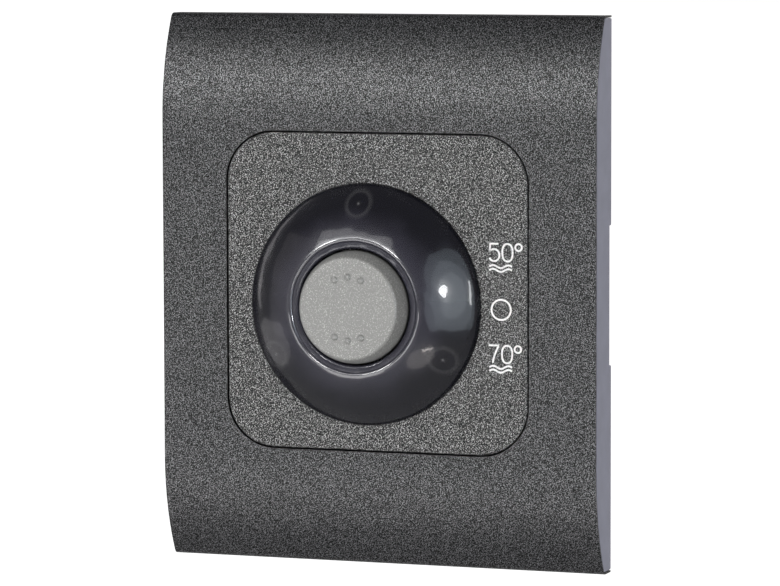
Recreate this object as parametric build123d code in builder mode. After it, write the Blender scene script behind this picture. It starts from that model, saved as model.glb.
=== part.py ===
from build123d import *
from math import cos, radians, sin, sqrt
import os

# Wall-mounted control panel of a caravan water heater.
# X is the viewer's right, Y goes into the wall and Z is up. The wall's face is the plane Y = 0, and
# the origin is the centre of the four screw holes. A depth is measured off the wall to the viewer.

# Cover frame
panel_height = 105.0
panel_width = 87.1
crest_depth = 9.5
end_depth = 4.3
arch_reach = 19.8
end_round = 1.5
cover_wall = 2.0
inner_round = 0.3
collar_wall = 1.4
collar_back = 3.3
rib_wall = 1.0
rib_back = 3.6
rib_spacing = 15.0
rib_count = 5
rib_start = 31.0
rib_end = 51.4

# Side trims
trim_thickness = 1.6
trim_bevel = 0.9
trim_lip = 0.35
trim_gap = 0.1
trim_edge_round = 0.25
tongue_clearance = 0.3
tongue_wall = 1.2
tongue_reach = 3.0
foot_length = 26.4
foot_depth = 1.05
foot_bevel = 0.25

# Panel housing: front plate, flange and rear collar in one moulding
plate_side = 60.26
plate_round = 9.35
plate_gap = 0.3
plate_thickness = 2.5
plate_edge_round = 0.25
flange_margin = 0.95
flange_round = 5.0
flange_thickness = 3.0
screw_edge = 4.0
screw_hole_radius = 2.0
screw_seat_radius = 3.9
screw_seat_depth = 0.6
skirt_wall = 2.0
pocket_reach = 16.0
pocket_round = 0.9
pocket_web = 3.2
body_radius = 27.0
bore_radius = 25.2

# Snap hooks of the cover frame on the flange
hook_spacing = 36.0
hook_width = 8.0
hook_wall = 1.5
hook_gap = 0.3
hook_catch = 1.1
hook_tip_depth = 0.5
hook_root_depth = 7.4
hook_ledge_depth = 2.0

# Lens ring and the rocker's axis
ring_x = -2.1
ring_z = -2.25
ring_radius = 22.99
ring_gap = 0.1
ring_seat_depth = 0.5
ring_rim_height = 0.9
ring_rim_round = 0.45
dome_radius = 25.0
crest_radius = 12.65
crest_height = 6.9
crest_round = 0.3
lip_radius = 12.3
lip_height = 6.5
lip_round = 0.4
ring_hole_radius = 11.1
ring_wall = 2.0
ring_tube_wall = 1.3
post_circle_radius = 19.4
post_radius = 1.5
post_gap = 0.05
post_head_radius = 2.2
post_head_height = 0.8
post_head_round = 0.3
post_start_height = 2.0
post_count = 3
post_angle = 90.0

# Rocker: a truncated ball that tilts about its own centre
pivot_height = 5.0
ball_radius = 10.75
ball_wall = 1.5
face_height = 4.8
face_edge_round = 0.7
rim_drop = 3.8
pip_circle_radius = 6.0
pip_angle = 26.0
pip_radius = 0.65
pip_height = 0.3
arm_width = 5.0
arm_wall = 3.0
arm_length = 9.5
arm_neck = 2.0
arm_tip_radius = 1.3
hub_radius = 2.2
pin_radius = 1.0
pin_running_gap = 0.05
well_depth = 1.0
ear_gap = 0.3
ear_wall = 2.0
ear_round = 2.1
ear_foot = 6.4
slot_height = 6.0
slot_margin = 0.5

# Circuit board and what stands on it
board_width = 40.0
board_height = 30.0
board_round = 2.0
board_thickness = 1.6
board_front_depth = -1.5
boss_radius = 2.1
upper_boss_x = 17.0
lower_boss_x = 9.5
boss_z = 12.3
board_screw_radius = 1.1
board_screw_length = 6.0
board_screw_head_radius = 2.0
board_screw_head_height = 1.3
board_screw_gap = 0.1
lead_hole_gap = 0.12

# Slide switch that the rocker's arm works
switch_length = 13.0
switch_width = 7.4
switch_base_height = 1.8
switch_can_height = 5.0
switch_can_wall = 0.4
switch_can_round = 0.5
switch_slot_length = 8.2
switch_slot_width = 4.6
slider_length = 4.6
slider_width = 4.0
slider_foot_length = 6.0
slider_foot_width = 6.0
slider_foot_height = 2.0
slider_foot_gap = 0.3
fork_depth = 6.2
fork_floor_depth = 3.3
fork_running_gap = 0.05
wiper_length = 4.0
wiper_width = 1.2
wiper_thickness = 0.2
terminal_radius = 0.35
terminal_pitch = 2.5
terminal_count = 4
terminal_tail = 1.4

# Indicator lamps under the lens ring
lamp_circle_radius = 17.5
lamp_angle = 35.0
lamp_radius = 1.5
lamp_flange_radius = 1.9
lamp_flange_height = 1.0
lamp_height = 5.3
lamp_window_gap = 0.15
lamp_recess = 0.6
lamp_lead_radius = 0.25
lamp_lead_spacing = 1.27
lamp_lead_tail = 1.4
spacer_bore_radius = 1.15

# Resistors, capacitor and chip
resistor_radius = 1.1
resistor_length = 6.0
resistor_reach = 8.0
resistor_lead_radius = 0.3
resistor_pitch = 3.2
resistor_count = 3
resistor_x = -12.0
resistor_z = 0.5
resistor_lift = 0.4
resistor_tail = 1.2
capacitor_radius = 3.15
capacitor_height = 7.0
capacitor_round = 0.5
capacitor_x = -14.5
capacitor_z = -9.5
capacitor_lead_spacing = 2.5
chip_length = 9.5
chip_width = 6.4
chip_height = 3.3
chip_lift = 0.5
chip_x = 13.0
chip_z = -2.0
chip_leg_pitch = 2.54
chip_leg_radius = 0.3
chip_leg_span = 7.62
chip_leg_count = 4

# Cable connector on the back of the board
socket_width = 14.0
socket_height = 8.4
socket_wall = 1.2
socket_floor = 1.6
socket_recess = 0.5
socket_x = 0.0
socket_z = 7.4
socket_key_width = 4.0
socket_key_depth = 3.0
contact_radius = 0.32
contact_pitch = 2.54
contact_columns = 4
contact_rows = 2
contact_rise = 5.1
contact_tail = 1.0

# Rear cover
rear_wall = 1.8
rear_clearance = 2.1
rear_ledge = 0.6
rear_gap = 0.2
rear_round = 0.3
rear_window_gap = 0.4
snap_count = 3
snap_angle = 30.0
snap_width = 6.0
snap_wall = 1.3
snap_gap = 0.3
snap_length = 6.0
snap_nib = 0.55
snap_nib_height = 1.2
snap_groove = 0.7
snap_groove_gap = 0.2

# Places and sizes worked out from the values above
wall = Plane.XZ
side = Plane(origin=(0, 0, 0), x_dir=(0, -1, 0), z_dir=(-1, 0, 0))
ring_section = Plane(origin=(ring_x, 0, ring_z), x_dir=(1, 0, 0), z_dir=(0, 0, -1))
body_section = Plane(origin=(0, 0, 0), x_dir=(1, 0, 0), z_dir=(0, 0, -1))
ring_axis = Axis((ring_x, 0, ring_z), (0, -1, 0))
body_axis = Axis((0, 0, 0), (0, -1, 0))
flange_side = panel_width - 2 * (trim_thickness + tongue_reach + flange_margin)
screw_spacing = flange_side - 2 * screw_edge
body_length = rear_wall + rear_clearance + capacitor_height + board_thickness - board_front_depth
end_drop = crest_depth - end_depth
arch_radius = (arch_reach**2 + end_drop**2) / (2 * end_drop)
plate_back = crest_depth - plate_thickness
well_floor = crest_depth - well_depth
pivot_depth = crest_depth + pivot_height
ball_face = pivot_depth + face_height
window_side = plate_side + 2 * plate_gap
window_round = plate_round + plate_gap
ring_foot_depth = crest_depth - ring_seat_depth
board_back_depth = board_front_depth - board_thickness
switch_can_top = board_front_depth + switch_can_height
arm_tip_depth = pivot_depth - arm_length
lamp_tip_depth = crest_depth - lamp_recess
lamp_foot_depth = lamp_tip_depth - lamp_height
rear_inner_depth = rear_wall - body_length
socket_mouth_depth = socket_recess - body_length


def at(depth):
    """The plane that faces the viewer at a depth off the wall."""
    return wall.offset(depth)


def side_at(x):
    """The side-view plane at a distance to the viewer's right: its own x is depth, its y is height."""
    return side.offset(-x)


def arch_face(inset, x=0):
    """The cover's arched outline seen from the side, set in from its outer skin."""
    top = panel_height / 2 - inset
    turn = panel_height / 2 - arch_reach
    crest = crest_depth - inset
    end = crest_depth - arch_radius + sqrt((arch_radius - inset) ** 2 - (top - turn) ** 2)
    with BuildSketch(side_at(x)) as face:
        with BuildLine():
            Line((crest, -turn), (crest, turn))
            TangentArc((crest, turn), (end, top), tangent=(0, 1))
            Polyline((end, top), (0, top), (0, -top), (end, -top))
            TangentArc((crest, -turn), (end, -top), tangent=(0, -1))
        make_face()
        corners = [face.vertices().group_by(Axis.Y)[i].sort_by(Axis.X)[-1] for i in (0, -1)]
        fillet(corners, radius=max(end_round - inset, inner_round))
    return face.sketch


def trim_blank(inset):
    """The plate that closes one end: its outer face at X = 0, its inner rim bevelled."""
    with BuildPart() as blank:
        extrude(arch_face(inset), amount=trim_thickness)
        inner_face = blank.faces().sort_by(Axis.X)[0]
        rim = [edge for edge in inner_face.edges() if edge.center().Y < 0]
        chamfer(rim, length=trim_bevel)
    return blank.part


def ring_places(radius, angles):
    """Points on a circle round the ring's axis, angles counted from the viewer's right."""
    return [
        (ring_x + radius * cos(radians(angle)), ring_z + radius * sin(radians(angle)))
        for angle in angles
    ]


def finish(piece, name):
    """Labels a finished piece and writes it."""
    piece.label = name
    export_step(piece, f"parts/{name}.step")


os.makedirs("parts", exist_ok=True)
board_screw_places = [
    (-upper_boss_x, boss_z),
    (upper_boss_x, boss_z),
    (-lower_boss_x, -boss_z),
    (lower_boss_x, -boss_z),
]
post_angles = [post_angle + 360 / post_count * i for i in range(post_count)]
lamp_angles = [180 - lamp_angle, lamp_angle]
lamp_places = ring_places(lamp_circle_radius, lamp_angles)

# Ribs that stiffen the arch, behind the skin
with BuildPart() as arch_ribs:
    extrude(arch_face(cover_wall / 2, panel_width / 2), amount=panel_width)
    with BuildSketch(at(rib_back)):
        with GridLocations(rib_spacing, rib_start + rib_end, rib_count, 2):
            Rectangle(rib_wall, rib_end - rib_start)
    extrude(amount=crest_depth, mode=Mode.INTERSECT)

# Cover frame: an arched shell with a square window, open at both ends
with BuildPart() as cover_frame:
    extrude(arch_face(0, panel_width / 2), amount=panel_width)
    extrude(arch_face(cover_wall, panel_width / 2), amount=panel_width, mode=Mode.SUBTRACT)
    with BuildSketch(at(collar_back)):
        collar_side = window_side + 2 * collar_wall
        RectangleRounded(collar_side, collar_side, window_round + collar_wall)
    extrude(amount=crest_depth - cover_wall / 2 - collar_back)
    add(arch_ribs.part)
    for hook_x in (-hook_spacing / 2, hook_spacing / 2):
        for up in (1, -1):
            finger_in = flange_side / 2 + hook_gap
            with BuildSketch(side_at(hook_x)):
                with BuildLine():
                    Polyline(
                        (hook_tip_depth, up * finger_in),
                        (hook_tip_depth, up * (finger_in + hook_wall)),
                        (hook_root_depth, up * (finger_in + hook_wall)),
                        (hook_root_depth, up * finger_in),
                        (hook_ledge_depth, up * finger_in),
                        (hook_ledge_depth, up * (finger_in - hook_catch)),
                        close=True,
                    )
                make_face()
            extrude(amount=hook_width / 2, both=True)
    with BuildSketch(at(0)):
        RectangleRounded(window_side, window_side, window_round)
    extrude(amount=crest_depth, mode=Mode.SUBTRACT)
    end_cut = trim_blank(trim_lip).moved(Location((panel_width / 2, 0, 0)))
    add(end_cut, mode=Mode.SUBTRACT)
    mirror(end_cut, about=Plane.YZ, mode=Mode.SUBTRACT)
finish(cover_frame.part, "cover_frame")

# Side trim: an end plate with a tongue that plugs into the cover frame's open end
with BuildPart() as side_trim:
    add(trim_blank(trim_lip + trim_gap))
    outer_face = side_trim.faces().sort_by(Axis.X)[-1]
    fillet([edge for edge in outer_face.edges() if edge.center().Y < 0], radius=trim_edge_round)
    tongue_inset = cover_wall + tongue_clearance
    extrude(arch_face(tongue_inset, -trim_thickness), amount=tongue_reach)
    extrude(
        arch_face(tongue_inset + tongue_wall, -trim_thickness),
        amount=tongue_reach,
        mode=Mode.SUBTRACT,
    )
    with BuildSketch(side):
        with BuildLine():
            Polyline(
                (0, -foot_length / 2 - foot_bevel),
                (foot_bevel, -foot_length / 2),
                (foot_depth, -foot_length / 2),
                (foot_depth, foot_length / 2),
                (foot_bevel, foot_length / 2),
                (0, foot_length / 2 + foot_bevel),
                close=True,
            )
        make_face()
    extrude(amount=trim_thickness, mode=Mode.SUBTRACT)
right_trim = side_trim.part.moved(Location((panel_width / 2, 0, 0)))
finish(right_trim, "side_trim_right")
finish(mirror(right_trim, about=Plane.YZ), "side_trim_left")

# Panel housing: the square front plate on its flange, with the collar that enters the wall
with BuildPart() as panel_housing:
    with BuildSketch(at(0)):
        RectangleRounded(flange_side, flange_side, flange_round)
    extrude(amount=flange_thickness)
    with BuildSketch(at(0)):
        RectangleRounded(plate_side, plate_side, plate_round)
    extrude(amount=crest_depth)
    fillet(panel_housing.faces().sort_by(Axis.Y)[0].edges(), radius=plate_edge_round)
    with BuildSketch(at(-body_length)):
        Circle(body_radius)
    extrude(amount=body_length)
    with BuildSketch(at(-body_length)):
        Circle(bore_radius)
    extrude(amount=body_length + plate_back, mode=Mode.SUBTRACT)
    # Core-outs behind the plate's corners
    with BuildSketch(at(0)) as pockets:
        pocket_side = plate_side - 2 * skirt_wall
        with GridLocations(pocket_side - pocket_reach, pocket_side - pocket_reach, 2, 2):
            Rectangle(pocket_reach, pocket_reach)
        Circle(bore_radius + pocket_web, mode=Mode.SUBTRACT)
        fillet(pockets.vertices().sort_by(SortBy.DISTANCE)[:-4], radius=pocket_round)
        fillet(pockets.vertices().sort_by(SortBy.DISTANCE)[-4:], radius=plate_round - skirt_wall)
    extrude(amount=plate_back, mode=Mode.SUBTRACT)
    # Screw holes with their seats
    with BuildSketch(at(0)):
        with GridLocations(screw_spacing, screw_spacing, 2, 2):
            Circle(screw_hole_radius)
    extrude(amount=flange_thickness, mode=Mode.SUBTRACT)
    with BuildSketch(at(flange_thickness - screw_seat_depth)):
        with GridLocations(screw_spacing, screw_spacing, 2, 2):
            Circle(screw_seat_radius)
    extrude(amount=screw_seat_depth, mode=Mode.SUBTRACT)
    # Rebates for the snap hooks
    with BuildSketch(at(0)):
        with GridLocations(hook_spacing, flange_side, 2, 2):
            Rectangle(hook_width + 2 * hook_gap, 2 * hook_catch)
    extrude(amount=hook_ledge_depth, mode=Mode.SUBTRACT)
    # Seat for the lens ring, holes for its posts and windows for the lamps
    with BuildSketch(at(ring_foot_depth)):
        with Locations((ring_x, ring_z)):
            Circle(ring_radius + ring_gap)
            Circle(ring_radius - ring_wall - ring_gap, mode=Mode.SUBTRACT)
    extrude(amount=ring_seat_depth, mode=Mode.SUBTRACT)
    with BuildSketch(at(plate_back)):
        with Locations(*ring_places(post_circle_radius, post_angles)):
            Circle(post_radius + post_gap)
        with Locations(*lamp_places):
            Circle(lamp_radius + lamp_window_gap)
    extrude(amount=plate_thickness, mode=Mode.SUBTRACT)
    # Well under the rocker, with a slot for its arm
    with BuildSketch(at(well_floor)):
        with Locations((ring_x, ring_z)):
            Circle(ring_hole_radius)
    extrude(amount=well_depth, mode=Mode.SUBTRACT)
    with BuildSketch(at(plate_back)):
        with Locations((ring_x, ring_z)):
            Rectangle(arm_width + 2 * slot_margin, slot_height)
    extrude(amount=plate_thickness, mode=Mode.SUBTRACT)
    # Bearing ears that carry the rocker's pin
    for way in (-1, 1):
        ear_x = ring_x + way * (arm_width / 2 + ear_gap + ear_wall / 2)
        with BuildSketch(side_at(ear_x)):
            with BuildLine():
                Polyline(
                    (well_floor, ring_z - ear_foot / 2),
                    (pivot_depth, ring_z - ear_round),
                    (pivot_depth, ring_z + ear_round),
                    (well_floor, ring_z + ear_foot / 2),
                    close=True,
                )
            make_face()
            with Locations((pivot_depth, ring_z)):
                Circle(ear_round)
                Circle(pin_radius, mode=Mode.SUBTRACT)
        extrude(amount=ear_wall / 2, both=True)
    # Bosses for the circuit board, with their screw holes
    with BuildSketch(at(board_front_depth)):
        with Locations(*board_screw_places):
            Circle(boss_radius)
    extrude(amount=plate_back - board_front_depth)
    with BuildSketch(at(board_front_depth)):
        with Locations(*board_screw_places):
            Circle(board_screw_radius)
    extrude(amount=board_screw_length, mode=Mode.SUBTRACT)
    # Ledge for the rear cover and the groove for its snap arms
    with BuildSketch(at(-body_length)):
        Circle(bore_radius + rear_ledge)
    extrude(amount=rear_wall, mode=Mode.SUBTRACT)
    with BuildSketch(body_section):
        groove_low = rear_inner_depth + snap_length - snap_nib_height - snap_groove_gap
        with BuildLine():
            Polyline(
                (bore_radius - snap_gap, groove_low),
                (bore_radius + snap_groove, groove_low),
                (bore_radius + snap_groove, groove_low + snap_nib_height + 2 * snap_groove_gap),
                (bore_radius - snap_gap, groove_low + snap_nib_height + 2 * snap_groove_gap),
                close=True,
            )
        make_face()
    revolve(axis=body_axis, mode=Mode.SUBTRACT)
finish(panel_housing.part, "panel_housing")

# Lens ring: a smoked dome on a rim, its inner tube round the rocker, and three staked posts
with BuildPart() as lens_ring:
    rim_top = crest_depth + ring_rim_height
    crest_top = crest_depth + crest_height
    lip_top = crest_depth + lip_height
    tube_radius = ring_hole_radius + ring_tube_wall
    rim_inner = ring_radius - ring_wall
    under_top = crest_top - ring_wall
    with BuildSketch(ring_section) as ring_profile:
        with BuildLine():
            Polyline((rim_inner, ring_foot_depth), (ring_radius, ring_foot_depth), (ring_radius, rim_top))
            RadiusArc((ring_radius, rim_top), (crest_radius, crest_top), -dome_radius)
            Polyline(
                (crest_radius, crest_top),
                (lip_radius, lip_top),
                (ring_hole_radius, lip_top),
                (ring_hole_radius, crest_depth),
                (tube_radius, crest_depth),
                (tube_radius, under_top),
            )
            RadiusArc((tube_radius, under_top), (rim_inner, crest_depth), dome_radius)
            Line((rim_inner, crest_depth), (rim_inner, ring_foot_depth))
        make_face()
        points = ring_profile.vertices()
        fillet(points.sort_by_distance((ring_radius, rim_top))[0], radius=ring_rim_round)
        fillet(ring_profile.vertices().sort_by_distance((crest_radius, crest_top))[0], radius=crest_round)
        fillet(ring_profile.vertices().sort_by_distance((ring_hole_radius, lip_top))[0], radius=lip_round)
    revolve(axis=ring_axis)
    with BuildSketch(at(plate_back)):
        with Locations(*ring_places(post_circle_radius, post_angles)):
            Circle(post_radius)
    extrude(amount=plate_thickness + post_start_height)
    with BuildSketch(at(plate_back - post_head_height)):
        with Locations(*ring_places(post_circle_radius, post_angles)):
            Circle(post_head_radius)
    extrude(amount=post_head_height)
    fillet(lens_ring.faces().group_by(Axis.Y)[-1].edges(), radius=post_head_round)
finish(lens_ring.part, "lens_ring")

# Rocker cap: the ball shell with its flat face, the pips and the arm that reaches the switch
with BuildPart() as rocker_cap:
    rim_depth = pivot_depth - rim_drop
    inner_radius = ball_radius - ball_wall
    inner_face_depth = ball_face - ball_wall
    face_radius = sqrt(ball_radius**2 - face_height**2)
    inner_face_radius = sqrt(inner_radius**2 - (face_height - ball_wall) ** 2)
    with BuildSketch(ring_section) as cap_profile:
        with BuildLine():
            ThreePointArc(
                (sqrt(ball_radius**2 - rim_drop**2), rim_depth),
                (ball_radius, pivot_depth),
                (face_radius, ball_face),
            )
            Polyline(
                (face_radius, ball_face),
                (0, ball_face),
                (0, inner_face_depth),
                (inner_face_radius, inner_face_depth),
            )
            ThreePointArc(
                (inner_face_radius, inner_face_depth),
                (inner_radius, pivot_depth),
                (sqrt(inner_radius**2 - rim_drop**2), rim_depth),
            )
            Line(
                (sqrt(inner_radius**2 - rim_drop**2), rim_depth),
                (sqrt(ball_radius**2 - rim_drop**2), rim_depth),
            )
        make_face()
        fillet(
            cap_profile.vertices().sort_by_distance((face_radius, ball_face))[0],
            radius=face_edge_round,
        )
    revolve(axis=ring_axis)
    # Arm: hub round the pin, a taper to the neck, and the round tip
    with BuildSketch(side_at(ring_x)):
        with BuildLine():
            Polyline(
                (inner_face_depth, ring_z - hub_radius),
                (pivot_depth, ring_z - hub_radius),
                (pivot_depth - hub_radius, ring_z - arm_wall / 2),
                (arm_tip_depth, ring_z - arm_neck / 2),
                (arm_tip_depth, ring_z + arm_neck / 2),
                (pivot_depth - hub_radius, ring_z + arm_wall / 2),
                (pivot_depth, ring_z + hub_radius),
                (inner_face_depth, ring_z + hub_radius),
                close=True,
            )
        make_face()
        with Locations((arm_tip_depth, ring_z)):
            Circle(arm_tip_radius)
        with Locations((pivot_depth, ring_z)):
            Circle(pin_radius + pin_running_gap, mode=Mode.SUBTRACT)
    extrude(amount=arm_width / 2, both=True)
    pip_ball = (pip_radius**2 + pip_height**2) / (2 * pip_height)
    pip_centre_depth = ball_face + pip_height - pip_ball
    pip_angles = [middle + pip_angle * step for middle in (90, 270) for step in (-1, 0, 1)]
    for pip_x, pip_z in ring_places(pip_circle_radius, pip_angles):
        with Locations((pip_x, -pip_centre_depth, pip_z)):
            Sphere(pip_ball)
finish(rocker_cap.part, "rocker_cap")

# Steel pin that the rocker tilts on
with BuildPart() as rocker_pin:
    with BuildSketch(side_at(ring_x)):
        with Locations((pivot_depth, ring_z)):
            Circle(pin_radius)
    extrude(amount=arm_width / 2 + ear_gap + ear_wall, both=True)
finish(rocker_pin.part, "rocker_pin")

# Circuit board
switch_terminal_places = [
    (ring_x + way * switch_width / 4, ring_z + terminal_pitch * (i - (terminal_count - 1) / 2))
    for way in (-1, 1)
    for i in range(terminal_count)
]
lamp_lead_places = [
    (x + way * lamp_lead_spacing / 2, z) for x, z in lamp_places for way in (-1, 1)
]
resistor_rows = [resistor_z - resistor_pitch * i for i in range(resistor_count)]
resistor_lead_places = [
    (resistor_x + way * resistor_reach / 2, z) for z in resistor_rows for way in (-1, 1)
]
capacitor_lead_places = [
    (capacitor_x, capacitor_z + way * capacitor_lead_spacing / 2) for way in (-1, 1)
]
chip_leg_places = [
    (chip_x + chip_leg_pitch * (i - (chip_leg_count - 1) / 2), chip_z + way * chip_leg_span / 2)
    for way in (-1, 1)
    for i in range(chip_leg_count)
]
contact_places = [
    (
        socket_x + contact_pitch * (column - (contact_columns - 1) / 2),
        socket_z + contact_pitch * (row - (contact_rows - 1) / 2),
    )
    for column in range(contact_columns)
    for row in range(contact_rows)
]
with BuildPart() as circuit_board:
    with BuildSketch(at(board_back_depth)):
        RectangleRounded(board_width, board_height, board_round)
        with Locations(*board_screw_places):
            Circle(board_screw_radius + board_screw_gap, mode=Mode.SUBTRACT)
        with Locations(*switch_terminal_places):
            Circle(terminal_radius + lead_hole_gap, mode=Mode.SUBTRACT)
        with Locations(*lamp_lead_places):
            Circle(lamp_lead_radius + lead_hole_gap, mode=Mode.SUBTRACT)
        with Locations(*resistor_lead_places):
            Circle(resistor_lead_radius + lead_hole_gap, mode=Mode.SUBTRACT)
        with Locations(*capacitor_lead_places):
            Circle(resistor_lead_radius + lead_hole_gap, mode=Mode.SUBTRACT)
        with Locations(*chip_leg_places):
            Circle(chip_leg_radius + lead_hole_gap, mode=Mode.SUBTRACT)
        with Locations(*contact_places):
            Circle(contact_radius + lead_hole_gap, mode=Mode.SUBTRACT)
    extrude(amount=board_thickness)
finish(circuit_board.part, "circuit_board")

# Screws that hold the board on its bosses
with BuildPart() as board_screws:
    with BuildSketch(at(board_back_depth)):
        with Locations(*board_screw_places):
            Circle(board_screw_radius)
    extrude(amount=board_thickness + board_screw_length)
    with BuildSketch(at(board_back_depth)):
        with Locations(*board_screw_places):
            Circle(board_screw_head_radius)
    extrude(amount=-board_screw_head_height)
finish(board_screws.part, "board_screws")

# Slide switch: insulating base, folded can, sliding fork, wiper and terminals
with BuildPart() as switch_base:
    with BuildSketch(at(board_front_depth)):
        with Locations((ring_x, ring_z)):
            Rectangle(switch_width - 2 * switch_can_wall, switch_length - 2 * switch_can_wall)
        with Locations(*switch_terminal_places):
            Circle(terminal_radius, mode=Mode.SUBTRACT)
    extrude(amount=switch_base_height)
finish(switch_base.part, "switch_base")

with BuildPart() as switch_can:
    with BuildSketch(at(board_front_depth)):
        with Locations((ring_x, ring_z)):
            Rectangle(switch_width, switch_length)
    extrude(amount=switch_can_height)
    fillet(switch_can.faces().sort_by(Axis.Y)[0].edges(), radius=switch_can_round)
    with BuildSketch(at(board_front_depth)):
        with Locations((ring_x, ring_z)):
            Rectangle(switch_width - 2 * switch_can_wall, switch_length - 2 * switch_can_wall)
    extrude(amount=switch_can_height - switch_can_wall, mode=Mode.SUBTRACT)
    with BuildSketch(at(board_front_depth)):
        with Locations((ring_x, ring_z)):
            Rectangle(switch_slot_width, switch_slot_length)
    extrude(amount=switch_can_height, mode=Mode.SUBTRACT)
finish(switch_can.part, "switch_can")

with BuildPart() as switch_slider:
    foot_bottom = switch_can_top - switch_can_wall - slider_foot_gap - slider_foot_height
    with BuildSketch(at(foot_bottom)):
        with Locations((ring_x, ring_z)):
            Rectangle(slider_foot_width, slider_foot_length)
    extrude(amount=slider_foot_height)
    with BuildSketch(at(foot_bottom)):
        with Locations((ring_x, ring_z)):
            Rectangle(slider_width, slider_length)
    extrude(amount=fork_depth - foot_bottom)
    with BuildSketch(at(fork_floor_depth)):
        with Locations((ring_x, ring_z)):
            Rectangle(arm_width + 2 * slot_margin, 2 * (arm_tip_radius + fork_running_gap))
    extrude(amount=fork_depth - fork_floor_depth, mode=Mode.SUBTRACT)
finish(switch_slider.part, "switch_slider")

with BuildPart() as switch_wipers:
    with BuildSketch(at(foot_bottom)):
        with Locations(
            (ring_x - switch_width / 4, ring_z),
            (ring_x + switch_width / 4, ring_z),
        ):
            Rectangle(wiper_width, wiper_length)
    extrude(amount=-wiper_thickness)
finish(switch_wipers.part, "switch_wipers")

with BuildPart() as switch_terminals:
    with BuildSketch(at(board_back_depth - terminal_tail)):
        with Locations(*switch_terminal_places):
            Circle(terminal_radius)
    extrude(amount=terminal_tail + board_thickness + switch_base_height)
finish(switch_terminals.part, "switch_terminals")

# Indicator lamps, their leads and the spacers that hold them up to the ring
for (lamp_x, lamp_z), lamp_name in zip(lamp_places, ("lamp_yellow", "lamp_red")):
    with BuildPart() as lamp:
        with BuildSketch(at(lamp_foot_depth)):
            with Locations((lamp_x, lamp_z)):
                Circle(lamp_flange_radius)
        extrude(amount=lamp_flange_height)
        with BuildSketch(at(lamp_foot_depth)):
            with Locations((lamp_x, lamp_z)):
                Circle(lamp_radius)
        extrude(amount=lamp_height - lamp_radius)
        with Locations((lamp_x, -(lamp_tip_depth - lamp_radius), lamp_z)):
            Sphere(lamp_radius)
    finish(lamp.part, lamp_name)

with BuildPart() as lamp_leads:
    with BuildSketch(at(board_back_depth - lamp_lead_tail)):
        with Locations(*lamp_lead_places):
            Circle(lamp_lead_radius)
    extrude(amount=lamp_lead_tail - board_back_depth + lamp_foot_depth)
finish(lamp_leads.part, "lamp_leads")

with BuildPart() as lamp_spacers:
    with BuildSketch(at(board_front_depth)):
        with Locations(*lamp_places):
            Circle(lamp_flange_radius)
            Circle(spacer_bore_radius, mode=Mode.SUBTRACT)
    extrude(amount=lamp_foot_depth - board_front_depth)
finish(lamp_spacers.part, "lamp_spacers")

# Resistors on the front of the board
with BuildPart() as resistors:
    resistor_axis_depth = board_front_depth + resistor_lift + resistor_radius
    for row_z in resistor_rows:
        with BuildSketch(side_at(resistor_x)):
            with Locations((resistor_axis_depth, row_z)):
                Circle(resistor_radius)
        extrude(amount=resistor_length / 2, both=True)
        with BuildSketch(side_at(resistor_x)):
            with Locations((resistor_axis_depth, row_z)):
                Circle(resistor_lead_radius)
        extrude(amount=resistor_reach / 2, both=True)
    with BuildSketch(at(board_back_depth - resistor_tail)):
        with Locations(*resistor_lead_places):
            Circle(resistor_lead_radius)
    extrude(amount=resistor_axis_depth - board_back_depth + resistor_tail)
finish(resistors.part, "resistors")

# Smoothing capacitor and control chip on the back of the board
with BuildPart() as capacitor:
    with BuildSketch(at(board_back_depth)):
        with Locations((capacitor_x, capacitor_z)):
            Circle(capacitor_radius)
    extrude(amount=-capacitor_height)
    fillet(capacitor.faces().sort_by(Axis.Y)[-1].edges(), radius=capacitor_round)
    with BuildSketch(at(board_back_depth)):
        with Locations(*capacitor_lead_places):
            Circle(resistor_lead_radius)
    extrude(amount=board_thickness + resistor_tail)
finish(capacitor.part, "capacitor")

with BuildPart() as control_chip:
    with BuildSketch(at(board_back_depth - chip_lift)):
        with Locations((chip_x, chip_z)):
            Rectangle(chip_length, chip_width)
    extrude(amount=-chip_height)
finish(control_chip.part, "control_chip")

with BuildPart() as chip_legs:
    leg_shoulder = board_back_depth - chip_lift - chip_height / 2
    leg_inward = (chip_leg_span - chip_width) / 2
    with BuildSketch(at(leg_shoulder)):
        with Locations(*chip_leg_places):
            Circle(chip_leg_radius)
    extrude(amount=board_front_depth + resistor_tail - leg_shoulder)
    for leg_x, leg_z in chip_leg_places:
        inward = -1 if leg_z > chip_z else 1
        with BuildSketch(at(leg_shoulder)):
            with Locations((leg_x, leg_z + inward * leg_inward / 2)):
                Rectangle(2 * chip_leg_radius, leg_inward)
        extrude(amount=2 * chip_leg_radius)
finish(chip_legs.part, "chip_legs")

# Cable socket on the back of the board and its contacts
with BuildPart() as cable_socket:
    with BuildSketch(at(board_back_depth)):
        with Locations((socket_x, socket_z)):
            Rectangle(socket_width, socket_height)
    extrude(amount=socket_mouth_depth - board_back_depth)
    with BuildSketch(at(board_back_depth - socket_floor)):
        with Locations((socket_x, socket_z)):
            Rectangle(socket_width - 2 * socket_wall, socket_height - 2 * socket_wall)
    extrude(amount=socket_mouth_depth - board_back_depth + socket_floor, mode=Mode.SUBTRACT)
    with BuildSketch(at(socket_mouth_depth)):
        with Locations((socket_x, socket_z - socket_height / 2)):
            Rectangle(socket_key_width, 2 * socket_wall)
    extrude(amount=socket_key_depth, mode=Mode.SUBTRACT)
    with BuildSketch(at(board_back_depth)):
        with Locations(*contact_places):
            Circle(contact_radius)
    extrude(amount=-socket_floor, mode=Mode.SUBTRACT)
finish(cable_socket.part, "cable_socket")

with BuildPart() as socket_contacts:
    with BuildSketch(at(board_back_depth - contact_rise)):
        with Locations(*contact_places):
            Circle(contact_radius)
    extrude(amount=contact_rise + board_thickness + contact_tail)
finish(socket_contacts.part, "socket_contacts")

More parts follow.
